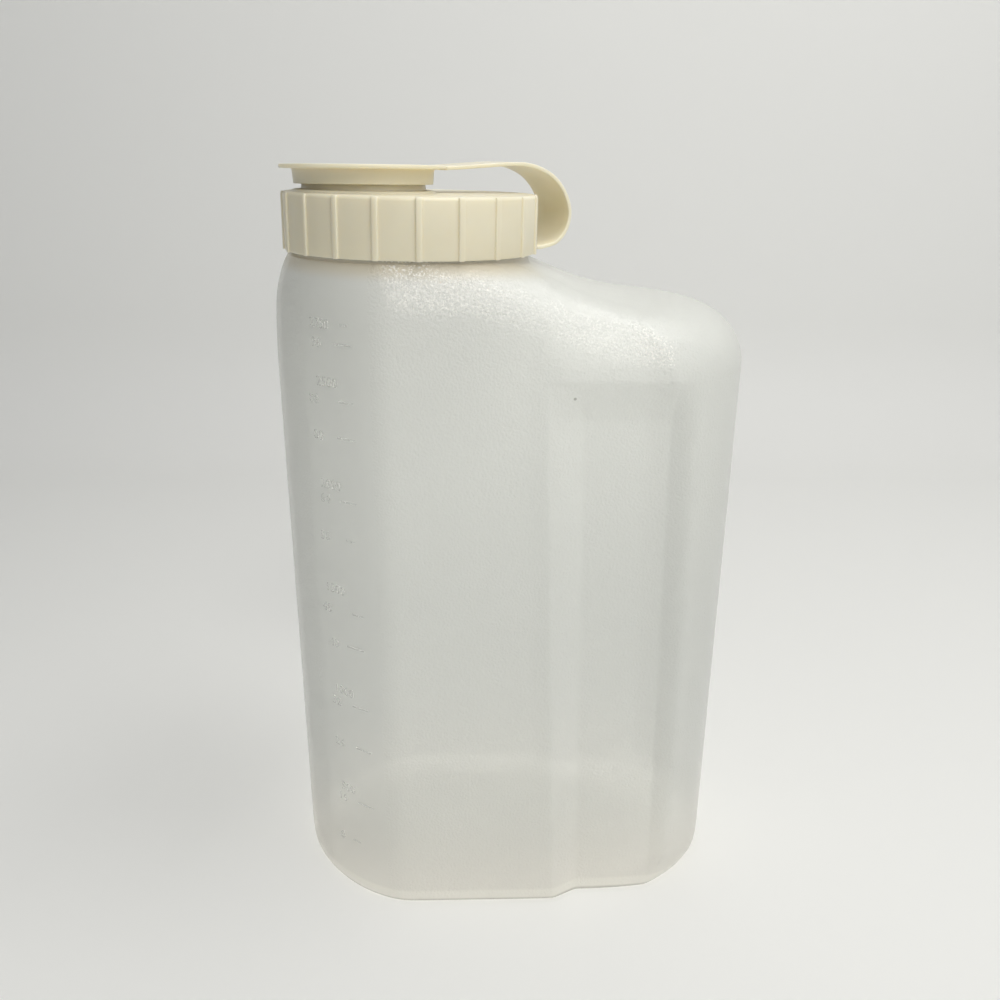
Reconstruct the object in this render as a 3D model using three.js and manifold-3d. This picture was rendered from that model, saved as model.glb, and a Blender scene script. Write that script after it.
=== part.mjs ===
// A rounded-box plastic pitcher with a ribbed screw cap, whose spout is closed by a lid on a strap.
// Millimetres, +Z up, standing on Z = 0. X runs from the pouring end (-X) to the grip end (+X).
// The neck's axis is X = 0, Y = 0 while modelling; the whole is moved at the end so that its
// plan centre is the origin.
import * as THREE from 'three';
import * as BufferGeometryUtils from 'three/addons/utils/BufferGeometryUtils.js';
import Module from 'manifold-3d';

const wasm = await Module();
wasm.setup();

// Body
const FRONT_X = -47.6;          // pouring end at the floor
const REAR_X = 119.0;           // grip end at the floor
const HALF_DEPTH = 47.7;        // half the depth at the floor
const DRAFT = 2.65 / 250;       // outward lean of every side wall
const WALL = 1.5;
const FRONT_CORNER = { a: 44.1, n: 1.67 };
const REAR_CORNER = { a: 34.0, n: 1.8 };
const FOOT_REAR = { x: 117.4, half: 41.2, a: 33.0, n: 1.62 };
const FOOT_INSET = { side: 1.7, front: 2.6 };
const STRIP = { from: -34.9, to: -12.3, flat: 0.65 };   // the smooth level-mark strip

// Finger recess, one on each side, open at the floor
const RECESS = {
  depth: 6.0,
  top: [209.5, 195.6],          // outer and inner edge of the sloping top wall
  front: [53.0, 46.3, 62.6, 58.8],   // outer edge at the floor and at the top, inner edge likewise
  rear: [91.2, 88.4, 98.2, 96.6],    // inner edge at the floor and at the top, outer edge likewise
};

// Shoulder and neck
const SHOULDER_TOP = [[-60, 246.6], [25, 246.4], [38, 244.8], [47, 241.2], [53, 238.2], [60.5, 235.2], [70, 232.1], [80, 231.2], [90, 231.2], [98, 231.2], [130, 230.6]];
const SHOULDER_DROP = [23.0, 22.5];   // at the neck, and at the grip end
const SHOULDER_RADIUS = 24;
const SHOULDER_NECK = 43.6;       // where the shoulder meets the neck
const NECK_RADIUS = 41.8;
const NECK_TOP = 263.0;
const THREAD = { from: 251.5, rise: 5.0, turns: 1.6, radius: 41.8, out: 0.7 };

// Cap ring
const CAP_RADIUS = 45.2;
const CAP_BOTTOM = 247.3;
const CAP_TOP = 267.1;
const CAP_EDGE = 1.3;
const CAP_WALL = 1.25;
const CAP_ROOF = 1.7;
const RIBS = { count: 20, phase: 5.9, width: 2.0, out: 0.75 };
const CAP_TILT = THREE.MathUtils.degToRad(0.73);   // down on the strap's side
const CAP_LEAN = THREE.MathUtils.degToRad(0.5);    // up on the near side
const SEAT = { radius: 24.0, foot: 25.0, height: 0.8 };   // raised disc that carries the spout

// Spout, lid and strap; the strap leaves towards STRAP_ANGLE, the spout sits opposite
const STRAP_ANGLE = THREE.MathUtils.degToRad(24);
const SPOUT_OFFSET = 17.3;
const SPOUT = { outer: 21.05, foot: 21.5, inner: 19.6, top: 272.6 };
const LID = { flange: 28.5, skirt: 24.3, skirtInner: 22.7, plug: 19.1, plugInner: 17.6, bottom: 269.7, plate: 274.6, top: 276.0, tilt: 0.6, lean: 1.0 };
const STRAP = { width: 25.0, thick: 1.3 };

function lerp(a, b, t) {
  return a + (b - a) * t;
}

function table(rows, x) {
  if (x <= rows[0][0]) return rows[0][1];
  for (let i = 1; i < rows.length; i += 1) {
    if (x <= rows[i][0]) {
      return lerp(rows[i - 1][1], rows[i][1], (x - rows[i - 1][0]) / (rows[i][0] - rows[i - 1][0]));
    }
  }
  return rows[rows.length - 1][1];
}

function superPoint(a, b, n, angle) {
  const c = Math.abs(Math.cos(angle));
  const s = Math.abs(Math.sin(angle));
  return [a * c ** (2 / n), b * s ** (2 / n)];
}

// One station of the half outline on the -Y side, from the pouring end to the grip end.
// Each gives the wall point at height z, the foot point, the heel height and the recess share.
const stations = [];
const frontSteps = 12;
for (let i = 0; i <= frontSteps; i += 1) {
  const angle = (Math.PI / 2) * (i / frontSteps);
  stations.push({ kind: 'front', angle });
}
for (const x of [12, 28]) stations.push({ kind: 'side', x: () => x, share: () => 0 });
const [frontFloor, frontTop, frontInFloor, frontInTop] = RECESS.front;
const [rearInFloor, rearInTop, rearFloor, rearTop] = RECESS.rear;
const leanOf = (low, high) => (z) => lerp(low, high, Math.min(z, 205) / 205);
const recessStations = [
  [leanOf(frontFloor - 1.4, frontTop - 1.4), 0],
  [leanOf(frontFloor, frontTop), 0.03],
  [leanOf(frontFloor + 1.4, frontTop + 1.4), 0.13],
  [leanOf(frontInFloor - 1.4, frontInTop - 1.4), 0.87],
  [leanOf(frontInFloor, frontInTop), 0.97],
  [leanOf(frontInFloor + 1.4, frontInTop + 1.4), 1],
  [leanOf(75, 73), 1],
  [leanOf(rearInFloor - 1.4, rearInTop - 1.4), 1],
  [leanOf(rearInFloor, rearInTop), 0.96],
  [leanOf(rearInFloor + 1.2, rearInTop + 1.2), 0.84],
];
for (const [x, share] of recessStations) stations.push({ kind: 'side', x, share: () => share });
const rearSteps = 9;
for (let i = 0; i <= rearSteps; i += 1) {
  stations.push({ kind: 'rear', step: i / rearSteps });
}

const rearCentre = REAR_X - REAR_CORNER.a;
const footCentre = FOOT_REAR.x - FOOT_REAR.a;
function rearY(x, z) {
  const t = Math.max(0, x - rearCentre) / REAR_CORNER.a;
  return HALF_DEPTH * (1 - t ** REAR_CORNER.n) ** (1 / REAR_CORNER.n);
}

// The unrecessed wall point of a station at height z, as [x, y] with y negative
function wallPoint(s, z) {
  const out = DRAFT * z;
  if (s.kind === 'front') {
    let [x, y] = superPoint(FRONT_CORNER.a + out, HALF_DEPTH + out, FRONT_CORNER.n, s.angle);
    x = FRONT_X + FRONT_CORNER.a - x;
    if (x > STRIP.from && x < STRIP.to) {
      const ends = [STRIP.from, STRIP.to].map((e) => {
        const t = Math.min(1, (FRONT_X + FRONT_CORNER.a - e) / (FRONT_CORNER.a + out));
        return (HALF_DEPTH + out) * (1 - t ** FRONT_CORNER.n) ** (1 / FRONT_CORNER.n);
      });
      const flatY = lerp(ends[0], ends[1], (x - STRIP.from) / (STRIP.to - STRIP.from));
      y = lerp(y, flatY, STRIP.flat * THREE.MathUtils.clamp((z - 8) / 14, 0, 1));
    }
    return [x, -y];
  }
  if (s.kind === 'side') {
    const x = s.x(z);
    return [x, -(rearY(x, z) + out)];
  }
  const begin = ((leanOf(rearFloor, rearTop)(z) - rearCentre) / (REAR_CORNER.a + out)) ** (REAR_CORNER.n / 2);
  const angle = lerp(Math.asin(begin), Math.PI / 2, s.step);
  const [y, x] = superPoint(HALF_DEPTH + out, REAR_CORNER.a + out, REAR_CORNER.n, angle);
  return [rearCentre + x, -y];
}

function footPoint(s) {
  if (s.kind === 'rear') {
    const t0 = (98.0 - footCentre) / FOOT_REAR.a;
    const start = Math.asin(Math.min(1, t0 ** (FOOT_REAR.n / 2)));
    const angle = lerp(start, Math.PI / 2, s.step);
    const [y, x] = superPoint(FOOT_REAR.half, FOOT_REAR.a, FOOT_REAR.n, angle);
    return [footCentre + x, -y];
  }
  const [x, y] = wallPoint(s, 0);
  if (s.kind === 'side' && x > 66) {
    const t = Math.max(0, x - footCentre) / FOOT_REAR.a;
    return [x, -FOOT_REAR.half * (1 - t ** FOOT_REAR.n) ** (1 / FOOT_REAR.n)];
  }
  if (s.kind === 'side') return [x, y + FOOT_INSET.side + (RECESS.depth - 1.2) * s.share()];
  const inset = lerp(FOOT_INSET.front, FOOT_INSET.side, Math.sin(s.angle) ** 2) / Math.hypot(x, y);
  return [x * (1 - inset), y * (1 - inset)];
}

function recessShare(s, z) {
  if (s.kind !== 'side') return 0;
  const [outer, inner] = RECESS.top;
  const across = s.share();
  const up = THREE.MathUtils.clamp((outer - z) / (outer - inner), 0, 1);
  return Math.min(across, up);
}

function sidePoint(s, z) {
  const [x, y] = wallPoint(s, z);
  return [x, y + RECESS.depth * recessShare(s, z)];
}

function heelHeight(s) {
  if (s.kind === 'rear') return lerp(17, 5, Math.min(1, s.step * 1.15));
  if (s.kind === 'side') return lerp(5, 16, THREE.MathUtils.clamp((s.x(0) - 86) / 12, 0, 1));
  return 6;
}

// Rows of the half outline, each a list of [x, y, z]
const rows = [];
for (const t of [0, 0.12, 0.4, 1]) {
  rows.push(stations.map((s) => {
    const h = heelHeight(s);
    const z = h * t;
    const round = Math.sqrt(1 - (1 - t) ** 2);
    const slope = THREE.MathUtils.clamp((h - 6) / 10, 0, 1);
    const q = lerp(round, t, slope * 0.85);
    const foot = footPoint(s);
    const wall = sidePoint(s, h);
    return [lerp(foot[0], wall[0], q), lerp(foot[1], wall[1], q), z];
  }));
}
const recessRows = [24, 60, 105, 150, 186, 194.2, 197, 208.1, 209.5, 211];
for (const z of recessRows) rows.push(stations.map((s) => [...sidePoint(s, z), z]));

function shoulder(s, fraction) {
  // fraction 0..1 goes over the round edge, 1..2 across the flat top to the neck
  const edge = wallPoint(s, 226);
  const angle = Math.atan2(edge[1], edge[0]);
  const neck = [SHOULDER_NECK * Math.cos(angle), SHOULDER_NECK * Math.sin(angle)];
  const reach = Math.hypot(edge[0] - neck[0], edge[1] - neck[1]);
  const radius = Math.min(SHOULDER_RADIUS, reach);
  const drop = lerp(SHOULDER_DROP[0], SHOULDER_DROP[1] - 0.6, THREE.MathUtils.clamp((edge[0] - 5) / 60, 0, 1));
  const phi = Math.min(1, fraction) * Math.PI / 2;
  const flat = Math.max(0, fraction - 1);
  // the narrow shoulder round the neck is nearly a straight slope
  const straight = 0.45 * THREE.MathUtils.clamp((14 - reach) / 5, 0, 1);
  const curve = lerp(1 - Math.cos(phi), Math.min(1, fraction), straight);
  const inward = radius * curve + (reach - radius) * flat;
  const t = inward / reach;
  const x = lerp(edge[0], neck[0], t);
  const y = lerp(edge[1], neck[1], t);
  const top = table(SHOULDER_TOP, x);
  return [x, y, top - drop * lerp(1 - Math.sin(phi), 1 - Math.min(1, fraction), straight)];
}
for (const fraction of [0.18, 0.38, 0.58, 0.79, 1.0, 1.33, 1.67, 2.0]) {
  rows.push(stations.map((s) => {
    const [x, y, z] = shoulder(s, fraction);
    // where there is no flat top, the last rows climb the collar by a hair instead
    return [x, y, z + Math.max(0, fraction - 1) * 0.2];
  }));
}

const backToFull = (half) => {
  const mirrored = half.slice(1, -1).reverse().map(([x, y, z]) => [x, -y, z]);
  return [...half.map(([x, y, z], i) => [x, i === 0 || i === half.length - 1 ? 0 : y, z]), ...mirrored];
};
const outer = rows.map(backToFull);
const last = outer[outer.length - 1];
const neckRatio = NECK_RADIUS / SHOULDER_NECK;
for (const z of [null, 249.5, NECK_TOP - 1]) {
  outer.push(last.map(([x, y, low]) => [x * neckRatio, y * neckRatio, z ?? low + 0.15]));
}

// Inner wall: every outer point moved in along its own normal
function ringNormals(rings) {
  const normals = rings.map((ring) => ring.map(() => new THREE.Vector3()));
  const p = (k, i) => new THREE.Vector3(...rings[k][(i + rings[k].length) % rings[k].length]);
  for (let k = 0; k < rings.length - 1; k += 1) {
    for (let i = 0; i < rings[k].length; i += 1) {
      const j = (i + 1) % rings[k].length;
      const a = p(k, i);
      const n = p(k, j).sub(a).cross(p(k + 1, i).sub(a)).normalize();
      for (const [kk, ii] of [[k, i], [k, j], [k + 1, i], [k + 1, j]]) normals[kk][ii].add(n);
    }
  }
  return normals.map((ring) => ring.map((n) => n.normalize()));
}
const normals = ringNormals(outer);
const innerFrom = 2;
const inner = [];
for (let k = outer.length - 1; k >= innerFrom; k -= 1) {
  inner.push(outer[k].map(([x, y, z], i) => {
    const n = normals[k][i];
    const low = k === innerFrom ? WALL : z;
    return [x - n.x * WALL, y - n.y * WALL, Math.max(WALL, low - (k === innerFrom ? 0 : n.z * WALL))];
  }));
}
const rim = outer[outer.length - 1].map(([x, y], i) => {
  const n = normals[outer.length - 1][i];
  return [x - n.x * 0.4, y - n.y * 0.4, NECK_TOP];
});
const rimInner = outer[outer.length - 1].map(([x, y], i) => {
  const n = normals[outer.length - 1][i];
  return [x - n.x * (WALL - 0.4), y - n.y * (WALL - 0.4), NECK_TOP];
});

function loft(rings, startPole, endPole) {
  const positions = [];
  const index = [];
  const count = rings[0].length;
  for (const ring of rings) for (const point of ring) positions.push(...point);
  for (let k = 0; k < rings.length - 1; k += 1) {
    for (let i = 0; i < count; i += 1) {
      const j = (i + 1) % count;
      const a = k * count + i;
      const b = k * count + j;
      const c = (k + 1) * count + j;
      const d = (k + 1) * count + i;
      index.push(a, b, c, a, c, d);
    }
  }
  const start = positions.length / 3;
  positions.push(...startPole);
  for (let i = 0; i < count; i += 1) index.push(start, (i + 1) % count, i);
  const end = positions.length / 3;
  positions.push(...endPole);
  const base = (rings.length - 1) * count;
  for (let i = 0; i < count; i += 1) index.push(end, base + i, base + ((i + 1) % count));
  const geometry = new THREE.BufferGeometry();
  geometry.setAttribute('position', new THREE.Float32BufferAttribute(positions, 3));
  geometry.setIndex(index);
  return geometry;
}

function toSolid(geometry) {
  const plain = geometry.clone();
  plain.deleteAttribute('normal');
  plain.deleteAttribute('uv');
  const merged = BufferGeometryUtils.mergeVertices(plain, 1e-4);
  return new wasm.Manifold(new wasm.Mesh({
    numProp: 3,
    vertProperties: Float32Array.from(merged.attributes.position.array),
    triVerts: Uint32Array.from(merged.index.array),
  }));
}

function toGeometry(solid) {
  const mesh = solid.getMesh();
  const geometry = new THREE.BufferGeometry();
  geometry.setAttribute('position', new THREE.BufferAttribute(new Float32Array(mesh.vertProperties), 3));
  geometry.setIndex(new THREE.BufferAttribute(new Uint32Array(mesh.triVerts), 1));
  return geometry;
}

const bodyShell = loft([...outer, rim, rimInner, ...inner], [36, 0, 0], [36, 0, WALL]);

// Screw thread on the neck: a three-sided bead along a helix
class Helix extends THREE.Curve {
  getPoint(t, target = new THREE.Vector3()) {
    const angle = t * THREAD.turns * Math.PI * 2;
    return target.set(
      THREAD.radius * Math.cos(angle),
      THREAD.radius * Math.sin(angle),
      THREAD.from + THREAD.rise * THREAD.turns * t,
    );
  }
}
const bead = [];
const beadSteps = 70;
const helix = new Helix();
for (let i = 0; i <= beadSteps; i += 1) {
  const t = i / beadSteps;
  const centre = helix.getPoint(t);
  const out = new THREE.Vector3(centre.x, centre.y, 0).normalize();
  const grow = Math.min(1, Math.min(t, 1 - t) * 14 + 0.05);
  bead.push([
    centre.clone().addScaledVector(out, -0.6).add(new THREE.Vector3(0, 0, -1.1 * grow)).toArray(),
    centre.clone().addScaledVector(out, THREAD.out * grow).toArray(),
    centre.clone().addScaledVector(out, -0.6).add(new THREE.Vector3(0, 0, 1.1 * grow)).toArray(),
  ]);
}
const middle = (ring) => [0, 1, 2].map((k) => (ring[0][k] + ring[1][k] + ring[2][k]) / 3);
let threadSolid = toSolid(loft(bead, middle(bead[0]), middle(bead[beadSteps])));
if (threadSolid.volume() < 0) {
  const turned = bead.map((ring) => [ring[2], ring[1], ring[0]]);
  threadSolid = toSolid(loft(turned, middle(turned[0]), middle(turned[beadSteps])));
}
const bodySolid = toSolid(bodyShell).add(threadSolid);

// Cap ring with its ribs
function ribbedRing(radius, rib, z) {
  const ring = [];
  const half = (RIBS.width / 2) / CAP_RADIUS;
  for (let k = 0; k < RIBS.count; k += 1) {
    const centre = THREE.MathUtils.degToRad(RIBS.phase - 90) + (k * Math.PI * 2) / RIBS.count;
    const step = (Math.PI * 2) / RIBS.count;
    for (const [offset, out] of [[-half, 0], [-half * 0.55, rib], [half * 0.55, rib], [half, 0], [step * 0.3, 0], [step * 0.5, 0], [step * 0.7, 0]]) {
      const a = centre + offset;
      ring.push([(radius + out) * Math.cos(a), (radius + out) * Math.sin(a), z]);
    }
  }
  return ring;
}
const capRadius = CAP_RADIUS - RIBS.out;
const capOuter = toSolid(loft([
  ribbedRing(capRadius - 0.5, RIBS.out, CAP_BOTTOM),
  ribbedRing(capRadius, RIBS.out, CAP_BOTTOM + 0.6),
  ribbedRing(capRadius, RIBS.out, CAP_TOP - CAP_EDGE),
  ribbedRing(capRadius - 0.3, RIBS.out * 0.6, CAP_TOP - CAP_EDGE * 0.45),
  ribbedRing(capRadius - 1.0, 0, CAP_TOP),
], [0, 0, CAP_BOTTOM], [0, 0, CAP_TOP]));

function turned(profile, segments, x = 0, y = 0) {
  const points = profile.map(([r, z]) => new THREE.Vector2(r, z));
  const geometry = new THREE.LatheGeometry(points, segments);
  geometry.rotateX(Math.PI / 2);
  geometry.translate(x, y, 0);
  let solid = toSolid(geometry);
  if (solid.volume() < 0) {
    const back = new THREE.LatheGeometry([...points].reverse(), segments);
    back.rotateX(Math.PI / 2);
    back.translate(x, y, 0);
    solid = toSolid(back);
  }
  return solid;
}
const capHollow = turned([[0, CAP_BOTTOM - 3], [capRadius - CAP_WALL + 0.3, CAP_BOTTOM - 3], [capRadius - CAP_WALL + 0.3, CAP_BOTTOM + 0.4], [capRadius - CAP_WALL, CAP_BOTTOM + 1.2], [capRadius - CAP_WALL, CAP_TOP - CAP_ROOF - 0.8], [capRadius - CAP_WALL - 0.8, CAP_TOP - CAP_ROOF], [0, CAP_TOP - CAP_ROOF]], 72);
const across = [Math.cos(STRAP_ANGLE), Math.sin(STRAP_ANGLE)];
const spoutX = -SPOUT_OFFSET * across[0];
const spoutY = -SPOUT_OFFSET * across[1];
const spout = turned([[SPOUT.inner - 0.1, CAP_TOP - 1.2], [SEAT.foot, CAP_TOP - 1.2], [SEAT.foot, CAP_TOP - 0.1], [SEAT.radius, CAP_TOP + SEAT.height], [SPOUT.foot, CAP_TOP + SEAT.height], [SPOUT.outer, CAP_TOP + 3.2], [SPOUT.outer, SPOUT.top - 0.6], [SPOUT.outer - 0.5, SPOUT.top], [SPOUT.inner - 0.1, SPOUT.top], [SPOUT.inner - 0.1, CAP_TOP - 1.2]], 56, spoutX, spoutY);
const spoutHole = turned([[0, CAP_TOP - 6], [SPOUT.inner, CAP_TOP - 6], [SPOUT.inner, SPOUT.top + 3], [0, SPOUT.top + 3]], 56, spoutX, spoutY);

// Lid: a flange, a skirt that drops over the spout and a plug that sits in it
const lidProfile = [
  [0, LID.plate - 1.0], [LID.plugInner, LID.plate - 1.0], [LID.plugInner, LID.plate - 3.8], [LID.plug, LID.plate - 3.8],
  [LID.plug, LID.plate - 1.0], [LID.skirtInner, LID.plate - 1.0], [LID.skirtInner, LID.bottom], [LID.skirt - 0.45, LID.bottom],
  [LID.skirt, LID.plate - 0.3], [LID.skirt + 0.4, LID.plate], [LID.flange - 0.4, LID.plate], [LID.flange, LID.plate + 0.4],
  [LID.flange, LID.top - 0.4], [LID.flange - 0.4, LID.top], [0, LID.top],
];
const lid = turned(lidProfile, 56);
const tiltLid = THREE.MathUtils.degToRad(LID.tilt);
const lidMatrix = new THREE.Matrix4()
  .makeTranslation(spoutX, spoutY, LID.bottom)
  .multiply(new THREE.Matrix4().makeRotationX(-THREE.MathUtils.degToRad(LID.lean)))
  .multiply(new THREE.Matrix4().makeRotationZ(STRAP_ANGLE))
  .multiply(new THREE.Matrix4().makeRotationY(-tiltLid))
  .multiply(new THREE.Matrix4().makeTranslation(0, 0, -LID.bottom));
const lidPlaced = toSolid(toGeometry(lid).applyMatrix4(lidMatrix));

// Strap: a flat band from the lid's flange, over and down to the foot of the ring.
// Its path lies in the upright plane through the strap's direction: [along, z].
const strapPath = new THREE.CatmullRomCurve3([
  [7.8, 275.45], [15.0, 275.8], [25.2, 276.6], [33.6, 277.15], [39.6, 277.05], [45.3, 275.7], [50.7, 272.9],
  [55.3, 267.9], [57.8, 261.3], [56.7, 255.1], [52.9, 250.4], [47.3, 248.6], [44.2, 248.4],
].map(([r, z]) => new THREE.Vector3(r * across[0], r * across[1], z)), false, 'centripetal');
const band = new THREE.Shape();
band.moveTo(-STRAP.thick / 2, -STRAP.width / 2);
band.lineTo(STRAP.thick / 2, -STRAP.width / 2);
band.lineTo(STRAP.thick / 2, STRAP.width / 2);
band.lineTo(-STRAP.thick / 2, STRAP.width / 2);
band.closePath();
const strapSteps = 40;
const side = new THREE.Vector3(-across[1], across[0], 0);
const strapRings = [];
for (let i = 0; i <= strapSteps; i += 1) {
  const t = i / strapSteps;
  const centre = strapPath.getPointAt(t);
  const ahead = strapPath.getTangentAt(t);
  const up = new THREE.Vector3().crossVectors(ahead, side).normalize();
  // wider where it joins the flange
  const width = STRAP.width / 2 + 1.5 * Math.max(0, 1 - t * 6) ** 2;
  const thick = STRAP.thick / 2;
  const corner = (u, v) => centre.clone().addScaledVector(side, u).addScaledVector(up, v).toArray();
  strapRings.push([corner(-width, -thick), corner(width, -thick), corner(width, thick), corner(-width, thick)]);
}
const ringMiddle = (ring) => [0, 1, 2].map((k) => ring.reduce((sum, p) => sum + p[k], 0) / ring.length);
let strap = toSolid(loft(strapRings, ringMiddle(strapRings[0]), ringMiddle(strapRings[strapSteps])));
if (strap.volume() < 0) {
  const turnedRings = strapRings.map((ring) => [...ring].reverse());
  strap = toSolid(loft(turnedRings, ringMiddle(turnedRings[0]), ringMiddle(turnedRings[strapSteps])));
}

const capSolid = capOuter.add(strap).subtract(capHollow).add(spout).subtract(spoutHole).add(lidPlaced);
const capGeometry = toGeometry(capSolid);
// The cap sits slightly askew on the neck, its strap side lower and its near side higher
const capMatrix = new THREE.Matrix4()
  .makeTranslation(0, 0, CAP_BOTTOM)
  .multiply(new THREE.Matrix4().makeRotationX(-CAP_LEAN))
  .multiply(new THREE.Matrix4().makeRotationY(CAP_TILT))
  .multiply(new THREE.Matrix4().makeTranslation(0, 0, -CAP_BOTTOM));
capGeometry.applyMatrix4(capMatrix);

const bodyMaterial = new THREE.MeshStandardMaterial({ color: 0xcfd0c9, roughness: 0.5, metalness: 0 });
const capMaterial = new THREE.MeshStandardMaterial({ color: 0xe6dfc2, roughness: 0.42, metalness: 0 });

const group = new THREE.Group();
const bodyGeometry = toGeometry(bodySolid);
bodyGeometry.computeBoundingBox();
const shift = -(bodyGeometry.boundingBox.min.x + bodyGeometry.boundingBox.max.x) / 2;
function addMesh(name, geometry, material) {
  geometry.translate(shift, 0, 0);
  geometry.computeVertexNormals();
  const mesh = new THREE.Mesh(geometry, material);
  mesh.name = name;
  group.add(mesh);
}
addMesh('body', bodyGeometry, bodyMaterial);
addMesh('cap', capGeometry, capMaterial);

export default group;
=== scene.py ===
import math

import bpy
from mathutils import Matrix, Vector


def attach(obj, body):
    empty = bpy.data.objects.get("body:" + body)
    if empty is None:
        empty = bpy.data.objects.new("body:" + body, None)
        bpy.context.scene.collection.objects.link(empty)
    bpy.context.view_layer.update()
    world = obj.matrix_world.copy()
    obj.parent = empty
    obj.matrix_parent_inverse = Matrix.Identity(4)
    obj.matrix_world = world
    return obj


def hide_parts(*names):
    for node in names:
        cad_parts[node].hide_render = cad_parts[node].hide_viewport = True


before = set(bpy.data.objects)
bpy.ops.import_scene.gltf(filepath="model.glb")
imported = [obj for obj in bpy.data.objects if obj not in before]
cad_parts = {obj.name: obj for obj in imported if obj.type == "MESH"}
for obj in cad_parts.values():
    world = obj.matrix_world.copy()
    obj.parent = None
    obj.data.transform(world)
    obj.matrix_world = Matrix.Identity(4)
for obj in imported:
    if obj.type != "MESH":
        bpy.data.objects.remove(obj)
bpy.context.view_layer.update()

# Metres, as the CAD part: X along the long side, -Y the side in the photograph, Z up.
neckX = -0.0357          # the neck's axis, from the middle of the object
nearly = 0.00001         # closer than this counts as the same place
turnSteps = 96           # faces round a turned piece
# the cap sits a little askew, turned about a point on the neck's axis at this height
capTilt = {"angle": math.radians(0.73), "lean": math.radians(0.5), "height": 0.2473}


class Value:
    # wraps a socket, so that an expression on it adds Math nodes
    def __init__(self, maker, socket):
        self.maker = maker
        self.socket = socket

    def math(self, operation, first, second):
        return self.maker.node("ShaderNodeMath", {"operation": operation}, {0: first, 1: second})

    def __add__(self, other):
        return self.math("ADD", self, other)

    def __radd__(self, other):
        return self.math("ADD", other, self)

    def __sub__(self, other):
        return self.math("SUBTRACT", self, other)

    def __rsub__(self, other):
        return self.math("SUBTRACT", other, self)

    def __mul__(self, other):
        return self.math("MULTIPLY", self, other)

    def __rmul__(self, other):
        return self.math("MULTIPLY", other, self)

    def __gt__(self, other):
        return self.math("GREATER_THAN", self, other)

    def __lt__(self, other):
        return self.math("LESS_THAN", self, other)


class Finish:
    # a material, whose nodes all come from the node method
    def __init__(self, name):
        self.material = bpy.data.materials.new(name)
        self.material.use_nodes = True
        self.tree = self.material.node_tree
        self.shader = self.tree.nodes["Principled BSDF"]

    def node(self, kind, settings=None, sockets=None, output=0):
        made = self.tree.nodes.new(kind)
        for key, value in (settings or {}).items():
            setattr(made, key, value)
        for key, value in (sockets or {}).items():
            self.feed(made.inputs[key], value)
        return Value(self, made.outputs[output])

    def feed(self, socket, value):
        if isinstance(value, Value):
            self.tree.links.new(value.socket, socket)
        else:
            socket.default_value = value

    def set(self, **sockets):
        for key, value in sockets.items():
            self.feed(self.shader.inputs[key.replace("_", " ")], value)

    def place(self):
        return self.node("ShaderNodeTexCoord", output="Object")

    def axes(self, place):
        split = self.node("ShaderNodeSeparateXYZ", {}, {"Vector": place})
        return [Value(self, socket) for socket in split.socket.node.outputs]

    def noise(self, place, scale, detail, rough=0.5):
        sockets = {"Vector": place, "Scale": scale, "Detail": detail, "Roughness": rough}
        return self.node("ShaderNodeTexNoise", {}, sockets)

    def ramp(self, value, start, end):
        # 0 at the start, 1 at the end, soft at both
        sockets = {"Value": value, "From Min": start, "From Max": end}
        return self.node("ShaderNodeMapRange", {"interpolation_type": "SMOOTHSTEP"}, sockets)

    def mix(self, share, first, second):
        # colours blended by a share from 0 to 1: the node's factor, A, B and result for colours
        return self.node("ShaderNodeMix", {"data_type": "RGBA"}, {0: share, 6: first, 7: second}, output=2)

    def bump(self, height, strength, distance):
        return self.node("ShaderNodeBump", {}, {"Height": height, "Strength": strength, "Distance": distance})

    def vector(self, operation, first, second):
        settings = {"operation": operation}
        return self.node("ShaderNodeVectorMath", settings, {0: first, 1: second}, output="Value")


def clearSelection():
    if bpy.context.object and bpy.context.object.mode != "OBJECT":
        bpy.ops.object.mode_set(mode="OBJECT")
    bpy.ops.object.select_all(action="DESELECT")


def pick(piece):
    clearSelection()
    piece.select_set(True)
    bpy.context.view_layer.objects.active = piece


def settle(piece, name):
    # leaves the object at the origin, unturned and unscaled, with its place in its mesh
    pick(piece)
    bpy.ops.object.transform_apply(location=True, rotation=True, scale=True)
    piece.name = name
    return piece


def move(piece, matrix):
    piece.matrix_world = matrix
    bpy.context.view_layer.update()


def unmark(piece):
    bpy.ops.object.mode_set(mode="OBJECT")
    for part in (piece.data.vertices, piece.data.edges, piece.data.polygons):
        part.foreach_set("select", [False] * len(part))


def chooseFaces(piece, test):
    unmark(piece)
    for face in piece.data.polygons:
        face.select = bool(test(face.center, face.normal))
    bpy.ops.object.mode_set(mode="EDIT")
    bpy.ops.mesh.select_mode(type="FACE")


def chooseEdges(piece, test):
    unmark(piece)
    points = piece.data.vertices
    for edge in piece.data.edges:
        edge.select = bool(test(points[edge.vertices[0]].co, points[edge.vertices[1]].co))
    bpy.ops.object.mode_set(mode="EDIT")
    bpy.ops.mesh.select_mode(type="EDGE")


def extrude(x, y, z):
    bpy.ops.mesh.extrude_region_move(TRANSFORM_OT_translate={"value": (x, y, z)})


def withModifier(piece, kind, **settings):
    pick(piece)
    modifier = piece.modifiers.new(kind, kind)
    for key, value in settings.items():
        setattr(modifier, key, value)
    bpy.ops.object.modifier_apply(modifier=modifier.name)


def smooth(piece, angle):
    pick(piece)
    bpy.ops.object.shade_smooth_by_angle(angle=angle)


def paint(piece, material):
    piece.data.materials.clear()
    piece.data.materials.append(material)


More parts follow.
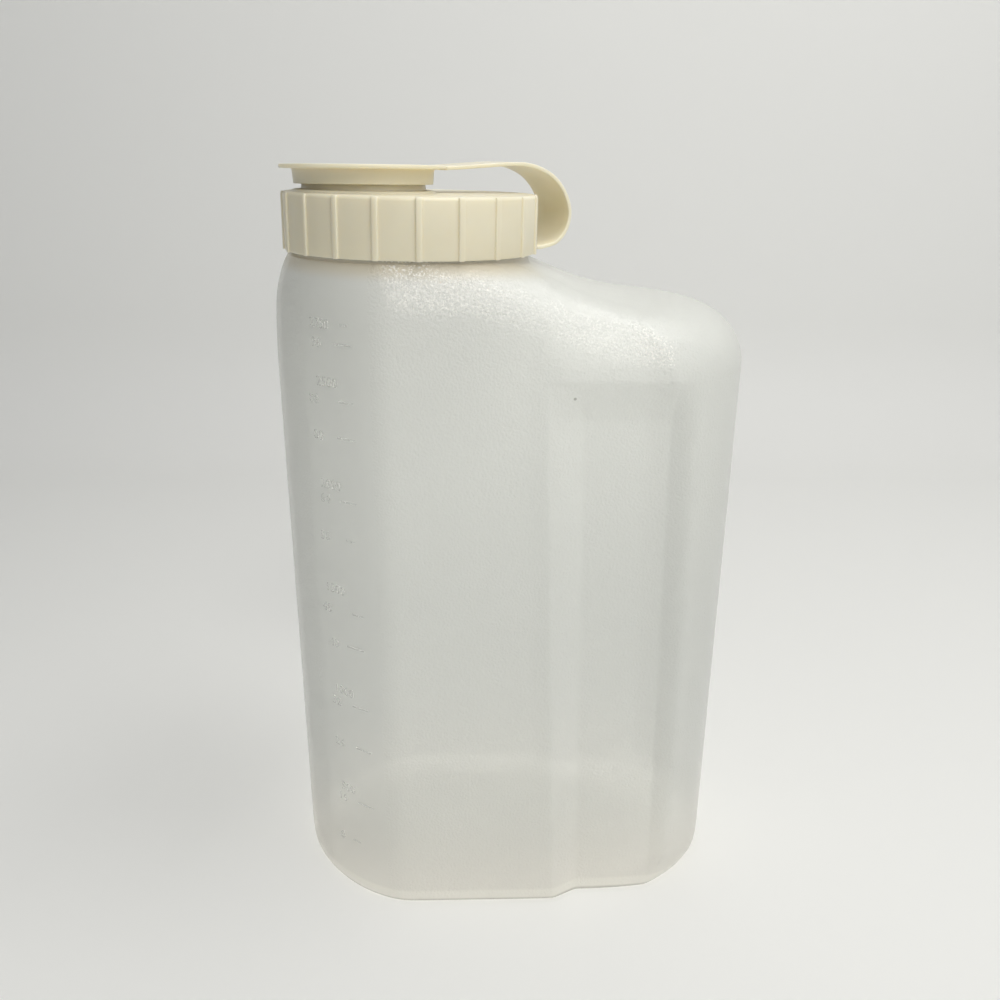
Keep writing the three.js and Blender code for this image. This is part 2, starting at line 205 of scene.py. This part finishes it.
def drawn(points):
    # a line through the points, drawn out point by point from a plane that is merged to one corner
    clearSelection()
    bpy.ops.mesh.primitive_plane_add(size=0.001)
    piece = bpy.context.object
    bpy.ops.object.mode_set(mode="EDIT")
    bpy.ops.mesh.select_mode(type="VERT")
    bpy.ops.mesh.select_all(action="SELECT")
    bpy.ops.mesh.merge(type="CENTER")
    bpy.ops.transform.translate(value=points[0])
    for before, after in zip(points, points[1:]):
        extrude(*(after - before))
    bpy.ops.mesh.select_all(action="SELECT")
    return piece


def turned(name, profile):
    # spins a profile of [radius, height] points about the upright axis
    piece = drawn([Vector((radius, 0, height)) for radius, height in profile])
    bpy.ops.mesh.spin(steps=turnSteps, angle=math.tau, center=(0, 0, 0), axis=(0, 0, 1))
    bpy.ops.mesh.select_all(action="SELECT")
    bpy.ops.mesh.remove_doubles(threshold=nearly)
    bpy.ops.mesh.normals_make_consistent(inside=False)
    bpy.ops.object.mode_set(mode="OBJECT")
    piece.name = name
    return piece


def tiltCap(piece):
    # the whole cap leans down on the strap's side and up on the near side, about the foot of its ring
    low = Vector((neckX, 0, capTilt["height"]))
    turn = (Matrix.Translation(low) @ Matrix.Rotation(-capTilt["lean"], 4, "X")
            @ Matrix.Rotation(capTilt["angle"], 4, "Y") @ Matrix.Translation(-low))
    move(piece, turn @ piece.matrix_world)
    return piece


# The body's finish. A fade is the pair of heights, distances or noise values between which a colour comes in.
bodyLook = {
    "colour": (0.88, 0.89, 0.855, 1),
    # painted shade down the middle of the body, and painted light from the floor on its foot
    "midShadeColour": (0.785, 0.795, 0.765, 1), "midShadeFade": (0.215, 0.1),
    "lowLightColour": (0.87, 0.85, 0.80, 1), "lowFade": (0.05, 0),
    # painted warm shade and cream reflection just under the cap's ring
    "neckShadeColour": (0.80, 0.73, 0.58, 1), "neckShadeFade": (0.2405, 0.2455),
    # painted light on the foot's edge, and a painted contact shadow line beneath it
    "footLightColour": (0.97, 0.95, 0.885, 1), "footLightFade": (0.0068, 0.0052),
    "contactShadowColour": (0.5, 0.485, 0.43, 1), "contactShadowFade": (0.0024, 0.0010),
    "rough": 0.3, "clear": 0.38, "bend": 1.5, "cover": 0.55, "lowCover": 0.62,
    "grain": 1100, "grainDetail": 2.0, "grainRough": 0.55, "grainStrength": 0.8, "grainHeight": 0.00058,
    "strip": (-0.0712, -0.0478), "stripSide": -0.02}
# painted glints: whiter specks where the near shoulder's pebbled wall faces the light
glintLook = {
    "colour": (1, 0.985, 0.94, 1), "cover": 0.26, "scale": 1300, "detail": 1.0, "fade": (0.5, 0.64),
    "facing": (0.08, -0.904, 0.42), "lean": (0.945, 0.99),   # the walls that face this way get the most painted glints
    "low": (0.2, 0.215), "end": (0.049, 0.055),              # the band's lower edge in Z and its end in X
    "thinner": 0.6, "thinnerStart": (-0.02, 0.01), "thinnerEnd": (0.036, 0.042)}   # fewer in between, along X
speckLook = {"colour": (0.2, 0.2, 0.17, 1), "place": (0.0195, -0.048, 0.204), "fade": (0.0008, 0.0003)}


def paintedGlints(finish, place, x, z, offStrip):
    # painted glints: pebble tops on the near shoulder are painted whiter, as if catching the light, in a band
    # that ends sharply at the smooth strip
    facing = finish.node("ShaderNodeNewGeometry", output="Normal")
    lean = finish.vector("DOT_PRODUCT", facing, glintLook["facing"])
    band = finish.ramp(lean, *glintLook["lean"]) * finish.ramp(z, *glintLook["low"]) * offStrip
    middle = finish.ramp(x, *glintLook["thinnerStart"]) * (1 - finish.ramp(x, *glintLook["thinnerEnd"]))
    band = band * (1 - glintLook["thinner"] * middle - finish.ramp(x, *glintLook["end"]))
    return finish.ramp(finish.noise(place, glintLook["scale"], glintLook["detail"]), *glintLook["fade"]) * band


def frostedPlastic():
    finish = Finish("frostedPlastic")
    place = finish.place()
    x, y, z = finish.axes(place)
    stripStart, stripEnd = bodyLook["strip"]
    offStrip = 1 - (x > stripStart) * (x < stripEnd) * (y < bodyLook["stripSide"])
    grain = finish.noise(place, bodyLook["grain"], bodyLook["grainDetail"], bodyLook["grainRough"])
    bump = finish.bump(grain * offStrip, bodyLook["grainStrength"], bodyLook["grainHeight"])
    glints = paintedGlints(finish, place, x, z, offStrip)
    # painted shade greys the middle; painted light from the floor below whitens and warms the foot, which is
    # also less clear; painted warm shade lies under the cap
    low = finish.ramp(z, *bodyLook["lowFade"])
    colour = finish.mix(finish.ramp(z, *bodyLook["midShadeFade"]), bodyLook["colour"], bodyLook["midShadeColour"])
    colour = finish.mix(low, colour, bodyLook["lowLightColour"])
    # painted warm shade under the cap's ring
    colour = finish.mix(finish.ramp(z, *bodyLook["neckShadeFade"]), colour, bodyLook["neckShadeColour"])
    # painted light on the foot's thick edge makes a light band, over a thin painted contact shadow line
    colour = finish.mix(finish.ramp(z, *bodyLook["footLightFade"]), colour, bodyLook["footLightColour"])
    colour = finish.mix(finish.ramp(z, *bodyLook["contactShadowFade"]), colour, bodyLook["contactShadowColour"])
    # painted glints on the near shoulder
    colour = finish.mix(glints, colour, glintLook["colour"])
    # one dark speck above the recess
    away = finish.vector("DISTANCE", place, speckLook["place"])
    colour = finish.mix(finish.ramp(away, *speckLook["fade"]), colour, speckLook["colour"])
    # the painted glints are also less clear
    cover = low * (bodyLook["lowCover"] - bodyLook["cover"]) + bodyLook["cover"] + glints * glintLook["cover"]
    finish.set(Base_Color=colour, Roughness=bodyLook["rough"], Transmission_Weight=bodyLook["clear"],
               Alpha=cover, IOR=bodyLook["bend"], Normal=bump)
    return finish.material


cloudLook = {"detail": 2.0, "fade": (0.35, 0.65)}   # the soft patches of both cream and mark plastic


def clouds(finish, place, scale):
    return finish.ramp(finish.noise(place, scale, cloudLook["detail"]), *cloudLook["fade"])


capLook = {"colour": (0.84, 0.775, 0.60, 1), "cloudColour": (0.855, 0.79, 0.615, 1), "clouds": 70,
           "rough": 0.33, "cloudRough": 0.06, "glow": 0.7, "depth": (2.4, 2.2, 1.8), "depthScale": 0.001,
           "grain": 260, "grainDetail": 3.0, "grainStrength": 0.25, "grainHeight": 0.00004}


def creamPlastic():
    finish = Finish("creamPlastic")
    place = finish.place()
    grain = finish.noise(place, capLook["grain"], capLook["grainDetail"])
    bump = finish.bump(grain, capLook["grainStrength"], capLook["grainHeight"])
    patches = clouds(finish, place, capLook["clouds"])
    colour = finish.mix(patches, capLook["colour"], capLook["cloudColour"])
    rough = capLook["rough"] + capLook["cloudRough"] * patches
    finish.set(Base_Color=colour, Roughness=rough, Subsurface_Weight=capLook["glow"],
               Subsurface_Radius=capLook["depth"], Subsurface_Scale=capLook["depthScale"], Normal=bump)
    return finish.material


markLook = {"colour": (0.78, 0.785, 0.75, 1), "cloudColour": (0.84, 0.845, 0.80, 1), "clouds": 300,
            "rough": 0.22, "cloudRough": 0.1, "cover": 0.3}


def markPlastic():
    finish = Finish("markPlastic")
    patches = clouds(finish, finish.place(), markLook["clouds"])
    colour = finish.mix(patches, markLook["colour"], markLook["cloudColour"])
    rough = markLook["rough"] + markLook["cloudRough"] * patches
    finish.set(Base_Color=colour, Roughness=rough, Alpha=markLook["cover"])
    return finish.material


frosted = frostedPlastic()
raised = markPlastic()
cream = creamPlastic()
print("finishes made")

# The body: the CAD shell, merged to quads and smoothed
bodySize = {"flat": math.radians(50), "square": math.radians(100), "levels": 2}


def makeBody():
    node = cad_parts["body"]
    clearSelection()
    piece = node.copy()
    piece.data = node.data.copy()
    bpy.context.collection.objects.link(piece)
    piece.hide_render = False
    pick(piece)
    bpy.ops.object.mode_set(mode="EDIT")
    bpy.ops.mesh.select_all(action="SELECT")
    bpy.ops.mesh.remove_doubles(threshold=nearly)
    bpy.ops.mesh.tris_convert_to_quads(face_threshold=bodySize["flat"], shape_threshold=bodySize["square"])
    bpy.ops.object.mode_set(mode="OBJECT")
    withModifier(piece, "SUBSURF", levels=bodySize["levels"], render_levels=bodySize["levels"])
    pick(piece)
    bpy.ops.object.shade_smooth()
    piece.name = "bodyShell"
    piece.visible_shadow = False   # light passes the milky walls, so they throw next to no shadow
    paint(piece, frosted)
    return piece


bodyShell = makeBody()
print("body made", len(bodyShell.data.polygons))

# The cap's ring. Its phase is the turn of its first rib from +X, and ribHalf is in faces of the ring.
ringSize = {
    "radius": 0.04445, "low": 0.2473, "high": 0.2671, "wall": 0.00125, "roof": 0.0017,
    "topEdge": 0.0013, "topSteps": 4, "topInner": 0.04, "lowEdge": 0.0004, "lowSteps": 2, "lowInner": 0.02,
    "ribs": 20, "facesPerRib": 14, "ribOut": 0.00072, "ribHalf": 1.02, "ribRadius": 0.0432, "ribFoot": 0.0002,
    "ribSteepest": 0.75, "phase": math.radians(5.9 - 90), "hole": 0.0196, "holeFaces": 96, "holeDeep": 0.01,
    "facingDown": -0.99, "soften": 0.00028, "softenSteps": 3, "softenFrom": math.radians(28)}
capSmooth = math.radians(40)    # edges of the cap's pieces that bend more than this stay sharp
strapAngle = math.radians(24)   # the strap's direction, seen from above
spoutOffset = 0.0173            # the spout lies this far from the neck's axis, away from the strap
spoutPlace = (neckX - spoutOffset * math.cos(strapAngle), -spoutOffset * math.sin(strapAngle), 0)


def fromAxis(point):
    return math.hypot(point.x, point.y)


def makeRing():
    low, high, phase = ringSize["low"], ringSize["high"], ringSize["phase"]
    clearSelection()
    bpy.ops.mesh.primitive_cylinder_add(vertices=ringSize["ribs"] * ringSize["facesPerRib"],
                                        radius=ringSize["radius"], depth=high - low,
                                        location=(0, 0, low + (high - low) / 2))
    piece = settle(bpy.context.object, "capRing")
    # turned so that an edge between two faces lies at each rib's middle
    piece.rotation_euler[2] = phase
    settle(piece, "capRing")
    chooseEdges(piece, lambda a, b: min(a.z, b.z) > high - nearly
                and min(fromAxis(a), fromAxis(b)) > ringSize["topInner"])
    bpy.ops.mesh.bevel(offset=ringSize["topEdge"], segments=ringSize["topSteps"])
    chooseEdges(piece, lambda a, b: max(a.z, b.z) < low + nearly)
    bpy.ops.mesh.bevel(offset=ringSize["lowEdge"], segments=ringSize["lowSteps"])

    # ribs: two faces wide, drawn out, running up over the rounded top edge
    def onRib(centre, normal):
        if fromAxis(centre) < ringSize["ribRadius"] or centre.z < low + ringSize["ribFoot"]:
            return False
        if abs(normal.z) > ringSize["ribSteepest"]:
            return False
        turn = (math.atan2(centre.y, centre.x) - phase) / (math.tau / ringSize["ribs"])
        return abs(turn - round(turn)) < ringSize["ribHalf"] / ringSize["facesPerRib"]
    chooseFaces(piece, onRib)
    bpy.ops.mesh.extrude_region_shrink_fatten(TRANSFORM_OT_shrink_fatten={"value": ringSize["ribOut"]})
    # hollow from below
    chooseFaces(piece, lambda centre, normal: normal.z < ringSize["facingDown"]
                and centre.z < low + nearly and fromAxis(centre) < ringSize["lowInner"])
    bpy.ops.mesh.inset(thickness=ringSize["wall"])
    extrude(0, 0, high - low - ringSize["roof"])
    bpy.ops.object.mode_set(mode="OBJECT")
    piece.location = (neckX, 0, 0)
    settle(piece, "capRing")
    clearSelection()
    bpy.ops.mesh.primitive_cylinder_add(vertices=ringSize["holeFaces"], radius=ringSize["hole"],
                                        depth=ringSize["holeDeep"],
                                        location=(spoutPlace[0], spoutPlace[1], high))
    cutter = bpy.context.object
    withModifier(piece, "BOOLEAN", operation="DIFFERENCE", object=cutter, solver="EXACT")
    bpy.data.objects.remove(cutter)
    withModifier(piece, "BEVEL", width=ringSize["soften"], segments=ringSize["softenSteps"],
                 limit_method="ANGLE", angle_limit=ringSize["softenFrom"])
    return piece


capRing = settle(tiltCap(makeRing()), "capRing")
print("ring made", len(capRing.data.polygons))

# The spout's collar and the lid, each a profile of [radius, height] points
spoutSize = {"profile": [
    (0.0195, 0.2658), (0.0249, 0.2658), (0.0249, 0.2671), (0.0243, 0.2676), (0.02405, 0.2678),
    (0.0237, 0.2679), (0.0218, 0.2679), (0.0214, 0.2681), (0.0212, 0.2690), (0.02105, 0.2703),
    (0.02105, 0.2720), (0.0209, 0.2725), (0.0205, 0.2726), (0.0200, 0.2726), (0.0197, 0.2725),
    (0.0195, 0.2721), (0.0195, 0.2658)]}
lidSize = {"bottom": 0.2697, "tilt": math.radians(0.6), "lean": math.radians(1.0), "profile": [
    (0, 0.2736), (0.0176, 0.2736), (0.0176, 0.2709), (0.0179, 0.2708), (0.0188, 0.2708),
    (0.0191, 0.2709), (0.0191, 0.2736), (0.0227, 0.2736), (0.0227, 0.2699), (0.0229, 0.2697),
    (0.0236, 0.2697), (0.02385, 0.2699), (0.02395, 0.2712), (0.0242, 0.2741), (0.0244, 0.2745),
    (0.0248, 0.2746), (0.0281, 0.2746), (0.0284, 0.2748), (0.0285, 0.2751), (0.0285, 0.2756),
    (0.0284, 0.2759), (0.0281, 0.276), (0.012, 0.276), (0, 0.276)]}


def makeSpout():
    piece = turned("spoutCollar", spoutSize["profile"])
    piece.location = spoutPlace
    return settle(piece, "spoutCollar")


def makeLid():
    piece = turned("lidDisc", lidSize["profile"])
    low = Vector((0, 0, lidSize["bottom"]))
    move(piece, Matrix.Translation(Vector(spoutPlace) + low) @ Matrix.Rotation(-lidSize["lean"], 4, "X")
         @ Matrix.Rotation(strapAngle, 4, "Z") @ Matrix.Rotation(-lidSize["tilt"], 4, "Y")
         @ Matrix.Translation(-low))
    return settle(piece, "lidDisc")


spoutCollar = settle(tiltCap(makeSpout()), "spoutCollar")
lidDisc = settle(tiltCap(makeLid()), "lidDisc")

# The strap: a flat band through [along, height] points, swept to its width
strapSize = {"width": 0.0247, "thick": 0.0013, "stepsAcross": 4, "pointsPerSpan": 6,
             "soften": 0.00035, "softenSteps": 3, "softenFrom": math.radians(50), "path": [
                 (0.0078, 0.27535), (0.0150, 0.2758), (0.0252, 0.2766), (0.0336, 0.27715), (0.0396, 0.27705),
                 (0.0453, 0.2757), (0.0507, 0.2729), (0.0553, 0.2679), (0.0578, 0.2613), (0.0567, 0.2551),
                 (0.0529, 0.2504), (0.0473, 0.2486), (0.0442, 0.2484)]}


def smoothPath(points, perSpan):
    # a rounded line through the points
    ends = [Vector(points[0]) * 2 - Vector(points[1])] + [Vector(point) for point in points]
    ends.append(ends[-1] * 2 - ends[-2])
    line = []
    for a, b, c, d in zip(ends, ends[1:], ends[2:], ends[3:]):
        for step in range(perSpan):
            t = step / perSpan
            bent = (2 * a - 5 * b + 4 * c - d) * t * t + (3 * b - a - 3 * c + d) * t ** 3
            line.append(0.5 * (2 * b + (c - a) * t + bent))
    line.append(ends[-2])
    return line


def makeStrap():
    side = -strapSize["width"] / 2
    line = smoothPath(strapSize["path"], strapSize["pointsPerSpan"])
    piece = drawn([Vector((point.x, side, point.y)) for point in line])
    for _ in range(strapSize["stepsAcross"]):
        extrude(0, strapSize["width"] / strapSize["stepsAcross"], 0)
    bpy.ops.mesh.select_all(action="SELECT")
    bpy.ops.mesh.normals_make_consistent(inside=False)
    bpy.ops.object.mode_set(mode="OBJECT")
    withModifier(piece, "SOLIDIFY", thickness=strapSize["thick"], offset=0, use_even_offset=True)
    withModifier(piece, "BEVEL", width=strapSize["soften"], segments=strapSize["softenSteps"],
                 limit_method="ANGLE", angle_limit=strapSize["softenFrom"])
    move(piece, Matrix.Translation((neckX, 0, 0)) @ Matrix.Rotation(strapAngle, 4, "Z"))
    return settle(piece, "lidStrap")


lidStrap = settle(tiltCap(makeStrap()), "lidStrap")
for piece in (capRing, spoutCollar, lidDisc, lidStrap):
    smooth(piece, capSmooth)
    paint(piece, cream)
print("cap made")

# Level marks: plain raised numbers and level dashes on the smooth strip
markSize = {"height": 0.0036, "letterScale": 1.38, "curveSteps": 3, "raise": 0.00025, "sink": 0.0002,
            "stroke": -0.00006, "dashHigh": 0.0007, "dashUp": 0.4, "dashEdge": 0.0002, "dashSteps": 2,
            "foot": Vector((-0.0349 + neckX, -0.0295, 0)), "across": Vector((0.81106, -0.58497, 0)),
            "facing": Vector((-0.58497, -0.81106, 0)), "castFrom": 0.05}
markThick = markSize["raise"] + markSize["sink"]
# the number, then in millimetres its start along the strip, its height, and its dash's start and end
levels = [("2750", 4.0, 226.8, 17.6, 21.2), ("96", 4.6, 220.4, 14.8, 22.8), ("2500", 6.2, 207.4, 0, 0),
          ("88", 2.2, 201.0, 15.8, 22.4), ("80", 3.4, 188.3, 14.6, 22.6), ("2000", 5.4, 171.0, 0, 0),
          ("64", 4.8, 165.4, 14.6, 21.5), ("56", 3.6, 151.0, 16.0, 20.0), ("1500", 4.6, 131.0, 0, 0),
          ("48", 2.4, 122.6, 17.0, 22.2), ("40", 5.0, 108.8, 13.8, 21.8), ("1000", 6.0, 89.4, 0, 0),
          ("32", 4.4, 84.0, 14.9, 22.8), ("24", 4.6, 66.0, 15.6, 22.8), ("500", 6.6, 46.2, 0, 0),
          ("16", 4.6, 41.0, 15.1, 22.8), ("8", 4.7, 22.4, 11.8, 15.4)]


def placeMark(piece, along, height):
    # lies on the strip at that place, its back sunk a little into the wall
    start = markSize["foot"] + markSize["across"] * (along / 1000) + Vector((0, 0, height / 1000))
    outside = start + markSize["facing"] * markSize["castFrom"]
    _, place, normal, _ = bodyShell.ray_cast(outside, -markSize["facing"])
    across = Vector((0, 0, 1)).cross(normal).normalized()
    up = normal.cross(across).normalized()
    move(piece, Matrix.Translation(place - normal * markSize["sink"])
         @ Matrix((across, up, normal)).transposed().to_4x4())
    return settle(piece, "mark")


def makeNumber(text, along, height):
    clearSelection()
    bpy.ops.object.text_add()
    piece = bpy.context.object
    letters = piece.data
    letters.body = text
    letters.size = markSize["height"] * markSize["letterScale"]
    letters.extrude = markThick / 2
    letters.offset = markSize["stroke"]
    letters.align_y = "CENTER"
    letters.resolution_u = markSize["curveSteps"]
    bpy.ops.object.convert(target="MESH")
    piece.location.z = markThick / 2
    return placeMark(settle(piece, "mark"), along, height)


def makeDash(start, end, height):
    clearSelection()
    bpy.ops.mesh.primitive_cube_add(size=1, scale=((end - start) / 1000, markSize["dashHigh"], markThick),
                                    location=(0, 0, markThick / 2))
    piece = settle(bpy.context.object, "mark")
    withModifier(piece, "BEVEL", width=markSize["dashEdge"], segments=markSize["dashSteps"])
    return placeMark(piece, (start + end) / 2, height)


def makeMarks():
    marks = []
    for text, along, height, dashStart, dashEnd in levels:
        marks.append(makeNumber(text, along, height))
        if dashEnd:
            marks.append(makeDash(dashStart, dashEnd, height + markSize["dashUp"]))
    clearSelection()
    for mark in marks:
        mark.select_set(True)
    bpy.context.view_layer.objects.active = marks[0]
    bpy.ops.object.join()
    piece = settle(bpy.context.object, "levelMarks")
    paint(piece, raised)
    return piece


levelMarks = makeMarks()
print("marks made")

for piece in (bodyShell, capRing, spoutCollar, lidDisc, lidStrap, levelMarks):
    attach(piece, "root")
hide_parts("body")
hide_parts("cap")

# The floor, rising behind the object as a backdrop
stageSize = {"width": 4.0, "near": -1.6, "far": 0.62, "high": 2.2, "level": -0.0003, "margin": 0.0001,
             "bend": 0.12, "bendSteps": 10, "smooth": math.radians(60),
             "colour": (0.86, 0.86, 0.84, 1), "rough": 0.7}


def makeStage():
    near, far, margin = stageSize["near"], stageSize["far"], stageSize["margin"]
    clearSelection()
    bpy.ops.mesh.primitive_plane_add(size=1)
    floor = bpy.context.object
    floor.scale = (stageSize["width"], far - near, 1)
    floor.location = (0, (far + near) / 2, stageSize["level"])
    floor = settle(floor, "stageFloor")
    chooseEdges(floor, lambda a, b: min(a.y, b.y) > far - margin)
    extrude(0, 0, stageSize["high"])
    chooseEdges(floor, lambda a, b: min(a.y, b.y) > far - margin and max(a.z, b.z) < margin)
    bpy.ops.mesh.bevel(offset=stageSize["bend"], segments=stageSize["bendSteps"])
    bpy.ops.object.mode_set(mode="OBJECT")
    smooth(floor, stageSize["smooth"])
    finish = Finish("stagePaint")
    finish.set(Base_Color=stageSize["colour"], Roughness=stageSize["rough"])
    paint(floor, finish.material)


makeStage()

# Soft lights, each with its place, what it points at, the length of its sides, its power and its colour
warmWhite = (1, 0.99, 0.965)
lightSetup = {
    "ceilingSoft": ((0.4, -0.15, 1.3), (0, 0, 0.1), 0.6, 6.2, warmWhite),
    "frontLamp": ((0.15, -0.85, 1.1), (0, 0, 0.2), 0.3, 2.6, (1, 0.985, 0.95)),
    "frontRight": ((0.55, -1.0, 0.95), (0, 0, 0.12), 1.2, 6.2, warmWhite),
    "sideRight": ((0.9, 0.6, 0.9), (0, 0, 0.12), 1.0, 0.8, warmWhite)}
worldLook = {"colour": (0.93, 0.96, 1.0, 1), "strength": 0.22}


def areaLight(name, place, target, side, power, colour):
    data = bpy.data.lights.new(name, "AREA")
    data.shape = "RECTANGLE"
    data.size = side
    data.size_y = side
    data.energy = power
    data.color = colour
    lamp = bpy.data.objects.new(name, data)
    bpy.context.collection.objects.link(lamp)
    lamp.location = place
    lamp.rotation_euler = (Vector(target) - Vector(place)).to_track_quat("-Z", "Y").to_euler()


for name, setup in lightSetup.items():
    areaLight(name, *setup)
world = bpy.data.worlds.new("studioWorld")
world.use_nodes = True
background = world.node_tree.nodes["Background"]
background.inputs["Color"].default_value = worldLook["colour"]
background.inputs["Strength"].default_value = worldLook["strength"]
bpy.context.scene.world = world

# The camera at the photograph's angle
cameraSetup = {"sensor": 36, "lens": 36.0, "nearest": 0.01, "place": (0.01875 + neckX, -0.36897, 0.28107),
               "turn": (math.radians(70.7494), math.radians(-0.4248), math.radians(-1.9816))}
cameraData = bpy.data.cameras.new("photoCamera")
cameraData.sensor_width = cameraSetup["sensor"]
cameraData.lens = cameraSetup["lens"]
cameraData.clip_start = cameraSetup["nearest"]
camera = bpy.data.objects.new("photoCamera", cameraData)
camera.location = cameraSetup["place"]
camera.rotation_euler = cameraSetup["turn"]
bpy.context.collection.objects.link(camera)
bpy.context.scene.camera = camera
bpy.context.scene.view_settings.view_transform = "Standard"
print("stage and camera made")
